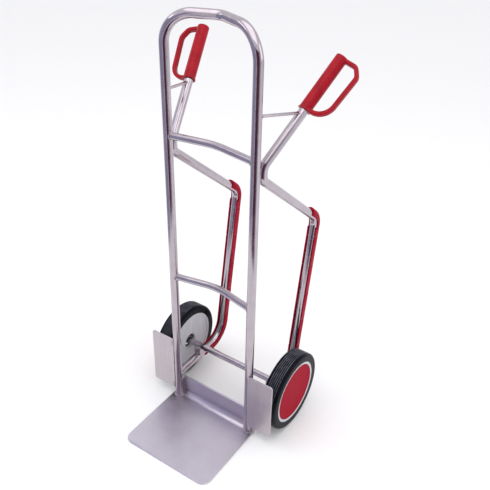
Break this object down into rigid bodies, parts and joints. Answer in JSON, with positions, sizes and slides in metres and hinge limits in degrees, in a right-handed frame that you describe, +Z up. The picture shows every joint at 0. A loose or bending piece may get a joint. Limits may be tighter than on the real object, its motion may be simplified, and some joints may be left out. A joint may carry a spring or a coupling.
{
  "type": "hand truck",
  "caption": "Two-wheeled aluminium hand truck with a toe plate, bowed crossbars, splayed guarded grips, stair skids and solid rubber wheels.",
  "frame": {"origin": "on the ground under the toe plate, midway between the uprights, in the plane of the uprights' front face", "axes": "+X to the right seen from the load side, +Y towards the wheels and skids, +Z up"},
  "size_m": [0.5426, 0.5839, 1.25],
  "materials": {
    "polished_aluminium": "polished satin tube",
    "brushed_aluminium": "brushed satin plate",
    "zinc_steel": "zinc plated",
    "bearing_steel": "ground and polished",
    "tyre_rubber": "satin black rubber",
    "rim_plastic": "fine moulded texture",
    "cap_plastic": "smooth satin gloss",
    "grip_plastic": "moulded, slightly waxy",
    "skid_plastic": "smooth extruded"
  },
  "bodies": {
    "truck_frame": {"axle_rod": "zinc_steel", "axle_tube": "polished_aluminium", "left_axle_saddle": "brushed_aluminium", "left_brace_rod": "polished_aluminium", "left_foot_gusset": "brushed_aluminium", "left_grip": "grip_plastic", "left_inboard_inner_race": "bearing_steel", "left_inner_washer": "zinc_steel", "left_outboard_inner_race": "bearing_steel", "left_outer_washer": "zinc_steel", "left_retaining_ring": "zinc_steel", "left_side_tube": "polished_aluminium", "left_skid_elbow": "skid_plastic", "left_skid_lower_bend": "skid_plastic", "left_skid_strip_1": "skid_plastic", "left_skid_strip_2": "skid_plastic", "left_skid_strip_3": "skid_plastic", "left_skid_strip_4": "skid_plastic", "left_spacer_sleeve": "zinc_steel", "left_wing_plate": "brushed_aluminium", "lower_crossbar": "polished_aluminium", "main_frame_tube": "polished_aluminium", "right_axle_saddle": "brushed_aluminium", "right_brace_rod": "polished_aluminium", "right_foot_gusset": "brushed_aluminium", "right_grip": "grip_plastic", "right_inboard_inner_race": "bearing_steel", "right_inner_washer": "zinc_steel", "right_outboard_inner_race": "bearing_steel", "right_outer_washer": "zinc_steel", "right_retaining_ring": "zinc_steel", "right_side_tube": "polished_aluminium", "right_skid_elbow": "skid_plastic", "right_skid_lower_bend": "skid_plastic", "right_skid_strip_1": "skid_plastic", "right_skid_strip_2": "skid_plastic", "right_skid_strip_3": "skid_plastic", "right_skid_strip_4": "skid_plastic", "right_spacer_sleeve": "zinc_steel", "right_wing_plate": "brushed_aluminium", "toe_plate": "brushed_aluminium", "upper_crossbar": "polished_aluminium"},
    "left_wheel": {"left_tyre": "tyre_rubber", "left_wheel_rim": "rim_plastic", "left_hub_cap": "cap_plastic", "left_inboard_outer_race": "bearing_steel", "left_outboard_outer_race": "bearing_steel"},
    "right_wheel": {"right_tyre": "tyre_rubber", "right_wheel_rim": "rim_plastic", "right_hub_cap": "cap_plastic", "right_inboard_outer_race": "bearing_steel", "right_outboard_outer_race": "bearing_steel"},
    "left_ball_set": {"left_inboard_bearing_balls": "bearing_steel", "left_outboard_bearing_balls": "bearing_steel"},
    "right_ball_set": {"right_inboard_bearing_balls": "bearing_steel", "right_outboard_bearing_balls": "bearing_steel"}
  },
  "joints": [
    {"name": "left_wheel_spin", "type": "hinge", "parent": "truck_frame", "child": "left_wheel", "pos_m": [-0.203, 0.1325, 0.125], "axis": [1, 0, 0], "continuous": true},
    {"name": "left_ball_orbit", "type": "hinge", "parent": "truck_frame", "child": "left_ball_set", "pos_m": [-0.203, 0.1325, 0.125], "axis": [1, 0, 0], "continuous": true},
    {"name": "right_wheel_spin", "type": "hinge", "parent": "truck_frame", "child": "right_wheel", "pos_m": [0.203, 0.1325, 0.125], "axis": [1, 0, 0], "continuous": true},
    {"name": "right_ball_orbit", "type": "hinge", "parent": "truck_frame", "child": "right_ball_set", "pos_m": [0.203, 0.1325, 0.125], "axis": [1, 0, 0], "continuous": true}
  ],
  "couplings": [
    {"joint": "left_ball_orbit", "follows": "left_wheel_spin", "ratio": 0.62},
    {"joint": "right_ball_orbit", "follows": "right_wheel_spin", "ratio": 0.62}
  ]
}
